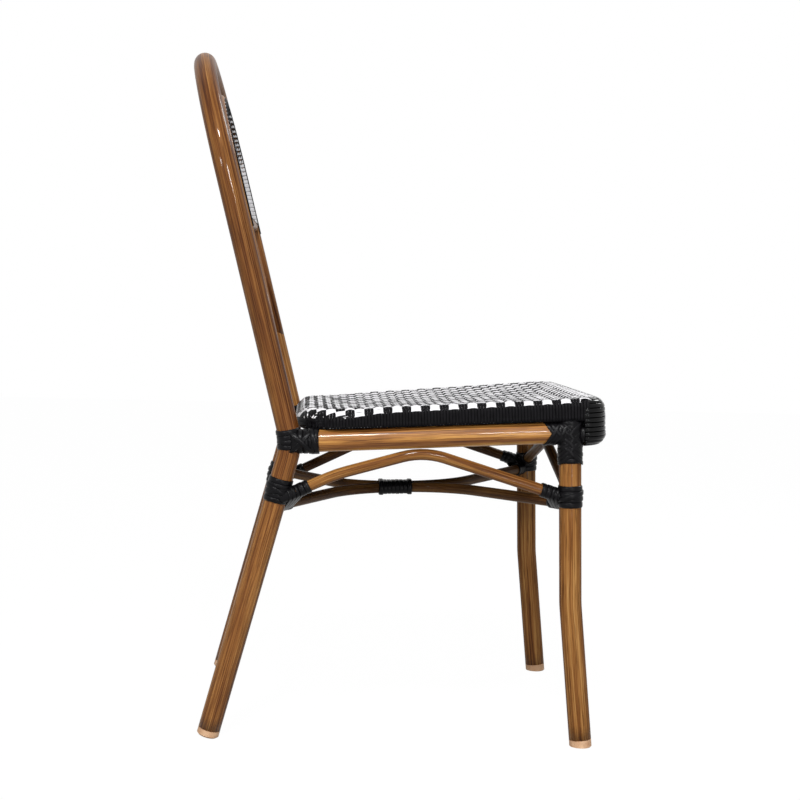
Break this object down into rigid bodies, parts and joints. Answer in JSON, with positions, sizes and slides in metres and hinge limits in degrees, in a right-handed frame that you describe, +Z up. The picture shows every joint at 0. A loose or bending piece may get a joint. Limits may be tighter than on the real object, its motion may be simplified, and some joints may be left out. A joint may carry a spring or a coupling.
{
  "type": "bistro chair",
  "caption": "Armless bistro chair of bent tube with a woven strand seat, a woven panel in its arched back, arched braces and bow stretchers tied at the middle.",
  "frame": {"origin": "bottom centre of the chair's bounding box, on the floor", "axes": "+Z up, the sitter faces -Y, +X is the sitter's left"},
  "size_m": [0.459, 0.5532, 0.9087],
  "materials": {
    "cane_tube": "printed bamboo pattern under clear gloss coat",
    "woven_strand": "black and white flat plastic strand, woven in a check",
    "black_strand": "black flat plastic strand, wound, satin gloss",
    "glide_plastic": "tan moulded plastic"
  },
  "bodies": {
    "root": {"back_hoop": "cane_tube", "inner_back_hoop": "cane_tube", "panel_bottom_bar": "cane_tube", "front_cross_rail": "cane_tube", "rear_cross_rail": "cane_tube", "front_arch": "cane_tube", "rear_arch": "cane_tube", "seat_frame": "cane_tube", "seat_cross_bar": "cane_tube", "apron_bar": "cane_tube", "back_weave": "woven_strand", "seat_weave": "woven_strand", "apron_weave": "woven_strand", "front_leg_left": "cane_tube", "front_leg_right": "cane_tube", "side_rail_left": "cane_tube", "side_rail_right": "cane_tube", "side_arch_left": "cane_tube", "side_arch_right": "cane_tube", "bow_stretcher_left": "cane_tube", "bow_stretcher_right": "cane_tube", "front_corner_wrap_left": "black_strand", "front_corner_wrap_right": "black_strand", "front_lower_binding_left": "black_strand", "front_lower_binding_right": "black_strand", "rear_upper_binding_left": "black_strand", "rear_upper_binding_right": "black_strand", "rear_lower_binding_left": "black_strand", "rear_lower_binding_right": "black_strand", "front_glide_left": "glide_plastic", "front_glide_right": "glide_plastic", "rear_glide_left": "glide_plastic", "rear_glide_right": "glide_plastic", "centre_binding": "black_strand"}
  },
  "joints": []
}
